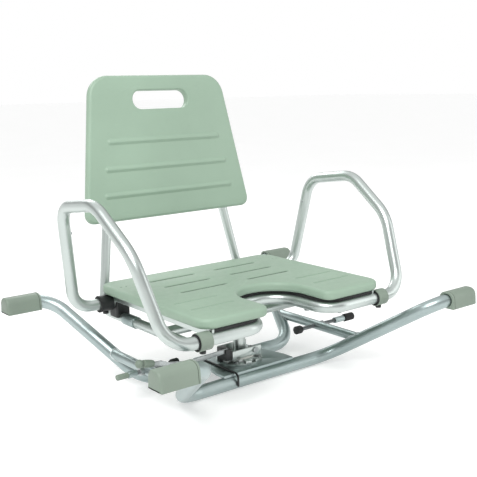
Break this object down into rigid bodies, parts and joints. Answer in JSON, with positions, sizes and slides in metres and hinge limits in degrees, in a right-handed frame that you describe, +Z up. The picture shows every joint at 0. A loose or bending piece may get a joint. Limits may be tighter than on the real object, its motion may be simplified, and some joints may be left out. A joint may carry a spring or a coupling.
{
  "type": "swivel bath transfer seat",
  "caption": "Swivel seat that hangs across a bath from four rim caps, with armrest loops, backrest, release lever and width adjusters.",
  "frame": {"origin": "on the swivel axis, level with the underside of the frame rails", "axes": "+X along the span to the sitter's left, +Y to the back, +Z up"},
  "size_m": [0.72, 0.568, 0.5777],
  "materials": {
    "frame_aluminium": "satin, slightly green-grey",
    "bright_aluminium": "satin anodised",
    "sage_plastic": "fine moulded grain, sage green",
    "dull_sage_plastic": "fine moulded grain, darker sage",
    "black_plastic": "moulded, semi-matt",
    "black_rubber": "matt",
    "blackened_steel": "black coating",
    "plain_steel": "zinc plated",
    "white_nylon": "smooth"
  },
  "bodies": {
    "bath_frame": {"front_frame_tube": "frame_aluminium", "rear_frame_tube": "frame_aluminium", "left_cross_tube": "frame_aluminium", "right_cross_tube": "frame_aluminium", "rim_cap_front_left": "dull_sage_plastic", "rim_cap_front_right": "dull_sage_plastic", "rim_cap_rear_left": "dull_sage_plastic", "rim_cap_rear_right": "dull_sage_plastic", "hub_plate": "frame_aluminium", "index_ring": "bright_aluminium", "index_ring_screws": "plain_steel", "hub_strap": "blackened_steel", "king_pin": "plain_steel", "king_pin_nut": "plain_steel", "adjuster_nuts": "plain_steel"},
    "seat": {"swivel_washer": "white_nylon", "swivel_channel": "bright_aluminium", "seat_column": "bright_aluminium", "seat_cross_beams": "bright_aluminium", "left_side_tube": "bright_aluminium", "right_side_tube": "bright_aluminium", "front_seat_tube": "bright_aluminium", "rear_seat_tube": "bright_aluminium", "spine_tube": "bright_aluminium", "rear_saddles": "black_plastic", "left_board_rail": "bright_aluminium", "right_board_rail": "bright_aluminium", "seat_spacers": "black_rubber", "seat_board": "sage_plastic", "seat_board_screws": "plain_steel", "armrest_left": "bright_aluminium", "armrest_right": "bright_aluminium", "armrest_buttons": "plain_steel", "front_collars": "dull_sage_plastic", "rear_collars": "black_plastic", "collar_rings": "black_rubber", "collar_screws": "blackened_steel", "left_back_post": "bright_aluminium", "right_back_post": "bright_aluminium", "back_post_sleeves": "frame_aluminium", "backrest_board": "sage_plastic", "backrest_screws": "plain_steel", "lever_pivot_screw": "plain_steel"},
    "lever": {"release_lever": "plain_steel", "release_grip": "dull_sage_plastic", "latch_bolt": "blackened_steel"},
    "left_pad_carrier": {"left_adjuster_ferrule": "frame_aluminium", "left_adjuster_pad": "dull_sage_plastic"},
    "right_pad_carrier": {"right_adjuster_ferrule": "frame_aluminium", "right_adjuster_pad": "black_rubber"},
    "left_screw": {"left_adjuster_screw": "plain_steel", "left_adjuster_knob": "black_plastic"},
    "right_screw": {"right_adjuster_screw": "plain_steel", "right_adjuster_knob": "black_plastic"}
  },
  "joints": [
    {"name": "seat_swivel", "type": "hinge", "parent": "bath_frame", "child": "seat", "pos_m": [0, 0, 0.04], "axis": [0, 0, 1], "continuous": true},
    {"name": "lever_lift", "type": "hinge", "parent": "seat", "child": "lever", "pos_m": [0.02, -0.015, 0.05], "axis": [0, 1, 0], "range_deg": [0, 8]},
    {"name": "left_pad_travel", "type": "slide", "parent": "bath_frame", "child": "left_pad_carrier", "axis": [-1, 0, 0], "range_m": [0, 0.02]},
    {"name": "left_screw_turn", "type": "hinge", "parent": "left_pad_carrier", "child": "left_screw", "pos_m": [-0.2, 0, 0.05615], "axis": [-1, 0, 0], "range_deg": [0, 3600]},
    {"name": "right_pad_travel", "type": "slide", "parent": "bath_frame", "child": "right_pad_carrier", "axis": [1, 0, 0], "range_m": [0, 0.02]},
    {"name": "right_screw_turn", "type": "hinge", "parent": "right_pad_carrier", "child": "right_screw", "pos_m": [0.2, 0, 0.05615], "axis": [1, 0, 0], "range_deg": [0, 3600]}
  ],
  "couplings": [
    {"joint": "left_pad_travel", "follows": "left_screw_turn", "m_per_rad": 0.00031831},
    {"joint": "right_pad_travel", "follows": "right_screw_turn", "m_per_rad": 0.00031831}
  ]
}
